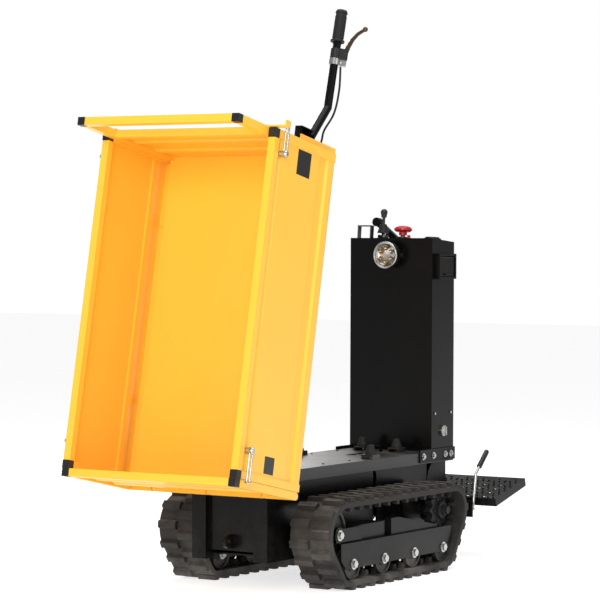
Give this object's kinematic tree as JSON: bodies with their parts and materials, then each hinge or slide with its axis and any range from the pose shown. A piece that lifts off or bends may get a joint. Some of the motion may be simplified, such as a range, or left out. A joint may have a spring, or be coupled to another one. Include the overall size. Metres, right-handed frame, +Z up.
{
  "type": "tracked power wheelbarrow",
  "caption": "Tracked electric barrow with a tipping drop-side bed, hand release lever, control column with lamp and joystick, and a sprung rear platform.",
  "frame": {"origin": "centre of the bounding box on the ground, bed tipped", "axes": "+X forward over the front gate, +Y to the machine's left, +Z up"},
  "size_m": [2.2773, 0.862, 2.2221],
  "materials": {
    "black_metal": "satin powder coat",
    "deck_metal": "textured powder coat",
    "zinc": "zinc plated",
    "rubber": "matt",
    "black_plastic": "moulded",
    "red_plastic": "moulded",
    "red_cable": "insulated cable",
    "clear_lens": "clear",
    "yellow_metal": "powder coat"
  },
  "bodies": {
    "chassis": {"chassis_frame": "black_metal", "deck_plate": "deck_metal", "fasteners": "zinc", "buffers": "rubber", "wiring": "red_cable", "column_shell": "black_metal", "grab_bracket": "black_metal", "top_arm": "black_plastic", "joystick_base": "black_plastic", "panel_fittings": "black_plastic", "port_housing": "black_plastic", "belt_l": "rubber", "belt_r": "rubber", "track_frames": "black_metal", "gearmotors": "black_metal"},
    "bed": {"bed_frame": "yellow_metal", "headboard": "yellow_metal", "handle_tube": "black_metal", "handle_grip": "black_plastic", "lever_clamp": "zinc", "lever_housing": "black_plastic", "brake_cable": "black_plastic", "caps_bed": "black_plastic"},
    "front_gate": {"front_gate": "yellow_metal", "caps_front": "black_plastic"},
    "side_left": {"side_gate_l": "yellow_metal", "latch_bolts_l": "zinc", "caps_side_l": "black_plastic"},
    "side_right": {"side_gate_r": "yellow_metal", "latch_bolts_r": "zinc", "caps_side_r": "black_plastic"},
    "bail_lf": {"bail_lf": "zinc"},
    "bail_lb": {"bail_lb": "zinc"},
    "bail_rf": {"bail_rf": "zinc"},
    "bail_rb": {"bail_rb": "zinc"},
    "release_lever": {"release_lever": "black_plastic"},
    "lock_hook": {"lock_hook": "zinc"},
    "joystick_cradle": {"joystick_cradle": "zinc"},
    "joystick_lever": {"joystick_lever": "black_plastic"},
    "estop_head": {"estop_head": "red_plastic"},
    "red_key": {"red_key": "red_plastic"},
    "lamp": {"lamp": "black_plastic", "lamp_lens": "clear_lens"},
    "port_flap": {"port_flap": "black_plastic"},
    "side_latch": {"side_latch": "zinc"},
    "platform": {"platform": "black_metal"},
    "park_lever": {"park_lever": "zinc", "park_grip": "black_plastic"},
    "idler_l": {"idler_l": "black_metal"},
    "idler_r": {"idler_r_wheel": "black_metal"},
    "sprocket_l": {"sprocket_l": "black_metal"},
    "sprocket_r": {"sprocket_r_wheel": "black_metal"},
    "roller_l1": {"rollers_l1": "black_metal"},
    "roller_l2": {"rollers_l2": "black_metal"},
    "roller_l3": {"rollers_l3": "black_metal"},
    "roller_l4": {"rollers_l4": "black_metal"},
    "roller_r1": {"rollers_r1": "black_metal"},
    "roller_r2": {"rollers_r2": "black_metal"},
    "roller_r3": {"rollers_r3": "black_metal"},
    "roller_r4": {"rollers_r4": "black_metal"}
  },
  "joints": [
    {"name": "bed_tip", "type": "hinge", "parent": "chassis", "child": "bed", "pos_m": [0.6311, 0, 0.427], "axis": [0, 1, 0], "range_deg": [-78.5, 0]},
    {"name": "front_gate_open", "type": "hinge", "parent": "bed", "child": "front_gate", "pos_m": [0.72798, 0, 0.39222], "axis": [0, 1, 0], "range_deg": [0, 70]},
    {"name": "side_left_slide", "type": "slide", "parent": "bed", "child": "side_left", "axis": [0, 1, 0], "range_m": [0, 0.15]},
    {"name": "side_right_slide", "type": "slide", "parent": "bed", "child": "side_right", "axis": [0, -1, 0], "range_m": [0, 0.15]},
    {"name": "bail_lf_turn", "type": "hinge", "parent": "side_left", "child": "bail_lf", "pos_m": [1.06545, 0.41, 0.58435], "axis": [0, 1, 0], "range_deg": [-90, 0]},
    {"name": "bail_lb_turn", "type": "hinge", "parent": "side_left", "child": "bail_lb", "pos_m": [0.84754, 0.41, 1.65541], "axis": [0, 1, 0], "range_deg": [-90, 0]},
    {"name": "bail_rf_turn", "type": "hinge", "parent": "side_right", "child": "bail_rf", "pos_m": [1.06545, -0.41, 0.58435], "axis": [0, 1, 0], "range_deg": [-90, 0]},
    {"name": "bail_rb_turn", "type": "hinge", "parent": "side_right", "child": "bail_rb", "pos_m": [0.84754, -0.41, 1.65541], "axis": [0, 1, 0], "range_deg": [-90, 0]},
    {"name": "release_lever_squeeze", "type": "hinge", "parent": "bed", "child": "release_lever", "pos_m": [0.36329, 0.36887, 2.04685], "axis": [0.7174, 0.6691, 0.1939], "range_deg": [0, 15], "stiffness_Nm_per_rad": 2, "springref_deg": -17.19},
    {"name": "lock_hook_turn", "type": "hinge", "parent": "bed", "child": "lock_hook", "pos_m": [0.47897, 0, 1.55593], "axis": [0, 1, 0], "range_deg": [-25, 0]},
    {"name": "joystick_fore_aft", "type": "hinge", "parent": "chassis", "child": "joystick_cradle", "pos_m": [-0.73168, -0.097, 1.35769], "axis": [0, 1, 0], "range_deg": [-10, 10], "stiffness_Nm_per_rad": 0.8},
    {"name": "joystick_side", "type": "hinge", "parent": "joystick_cradle", "child": "joystick_lever", "pos_m": [-0.73168, -0.097, 1.35769], "axis": [0.9964, 0, 0.0848], "range_deg": [-12, 12], "stiffness_Nm_per_rad": 0.8},
    {"name": "estop_push", "type": "slide", "parent": "chassis", "child": "estop_head", "axis": [0.0848, 0, -0.9964], "range_m": [0, 0.006]},
    {"name": "key_turn", "type": "hinge", "parent": "chassis", "child": "red_key", "pos_m": [-0.69075, 0.052, 1.35014], "axis": [-0.0848, 0, 0.9964], "range_deg": [0, 90]},
    {"name": "lamp_tilt", "type": "hinge", "parent": "chassis", "child": "lamp", "pos_m": [-0.6075, 0, 1.281], "axis": [0, 1, 0], "range_deg": [-10, 10]},
    {"name": "port_flap_lift", "type": "hinge", "parent": "chassis", "child": "port_flap", "pos_m": [-0.7265, 0.216, 1.2715], "axis": [1, 0, 0], "range_deg": [0, 100]},
    {"name": "side_latch_turn", "type": "hinge", "parent": "chassis", "child": "side_latch", "pos_m": [-0.7275, 0.203, 0.545], "axis": [0, 1, 0], "range_deg": [0, 90]},
    {"name": "platform_press", "type": "hinge", "parent": "chassis", "child": "platform", "pos_m": [-0.8325, 0, 0.222], "axis": [0, 1, 0], "range_deg": [-14, 0], "stiffness_Nm_per_rad": 70, "springref_deg": 22.92},
    {"name": "park_lever_pull", "type": "hinge", "parent": "chassis", "child": "park_lever", "pos_m": [-0.8265, 0.291, 0.214], "axis": [0, 1, 0], "range_deg": [-18, 10]},
    {"name": "sprocket_l_spin", "type": "hinge", "parent": "chassis", "child": "sprocket_l", "pos_m": [-0.4885, 0.304, 0.24], "axis": [0, 1, 0], "continuous": true},
    {"name": "idler_l_spin", "type": "hinge", "parent": "chassis", "child": "idler_l", "pos_m": [0.3645, 0.304, 0.212], "axis": [0, 1, 0], "continuous": true},
    {"name": "roller_l1_spin", "type": "hinge", "parent": "chassis", "child": "roller_l1", "pos_m": [0.2845, 0.304, 0.096], "axis": [0, 1, 0], "continuous": true},
    {"name": "roller_l2_spin", "type": "hinge", "parent": "chassis", "child": "roller_l2", "pos_m": [0.0495, 0.304, 0.096], "axis": [0, 1, 0], "continuous": true},
    {"name": "roller_l3_spin", "type": "hinge", "parent": "chassis", "child": "roller_l3", "pos_m": [-0.1865, 0.304, 0.096], "axis": [0, 1, 0], "continuous": true},
    {"name": "roller_l4_spin", "type": "hinge", "parent": "chassis", "child": "roller_l4", "pos_m": [-0.4225, 0.304, 0.096], "axis": [0, 1, 0], "continuous": true},
    {"name": "sprocket_r_spin", "type": "hinge", "parent": "chassis", "child": "sprocket_r", "pos_m": [-0.4885, -0.304, 0.24], "axis": [0, 1, 0], "continuous": true},
    {"name": "idler_r_spin", "type": "hinge", "parent": "chassis", "child": "idler_r", "pos_m": [0.3645, -0.304, 0.212], "axis": [0, 1, 0], "continuous": true},
    {"name": "roller_r1_spin", "type": "hinge", "parent": "chassis", "child": "roller_r1", "pos_m": [0.2845, -0.304, 0.096], "axis": [0, 1, 0], "continuous": true},
    {"name": "roller_r2_spin", "type": "hinge", "parent": "chassis", "child": "roller_r2", "pos_m": [0.0495, -0.304, 0.096], "axis": [0, 1, 0], "continuous": true},
    {"name": "roller_r3_spin", "type": "hinge", "parent": "chassis", "child": "roller_r3", "pos_m": [-0.1865, -0.304, 0.096], "axis": [0, 1, 0], "continuous": true},
    {"name": "roller_r4_spin", "type": "hinge", "parent": "chassis", "child": "roller_r4", "pos_m": [-0.4225, -0.304, 0.096], "axis": [0, 1, 0], "continuous": true}
  ],
  "couplings": [
    {"joint": "lock_hook_turn", "follows": "release_lever_squeeze", "ratio": -1.6667},
    {"joint": "idler_l_spin", "follows": "sprocket_l_spin", "ratio": 0.74074},
    {"joint": "roller_l1_spin", "follows": "sprocket_l_spin", "ratio": 1.3333},
    {"joint": "roller_l2_spin", "follows": "sprocket_l_spin", "ratio": 1.3333},
    {"joint": "roller_l3_spin", "follows": "sprocket_l_spin", "ratio": 1.3333},
    {"joint": "roller_l4_spin", "follows": "sprocket_l_spin", "ratio": 1.3333},
    {"joint": "idler_r_spin", "follows": "sprocket_r_spin", "ratio": 0.74074},
    {"joint": "roller_r1_spin", "follows": "sprocket_r_spin", "ratio": 1.3333},
    {"joint": "roller_r2_spin", "follows": "sprocket_r_spin", "ratio": 1.3333},
    {"joint": "roller_r3_spin", "follows": "sprocket_r_spin", "ratio": 1.3333},
    {"joint": "roller_r4_spin", "follows": "sprocket_r_spin", "ratio": 1.3333}
  ]
}
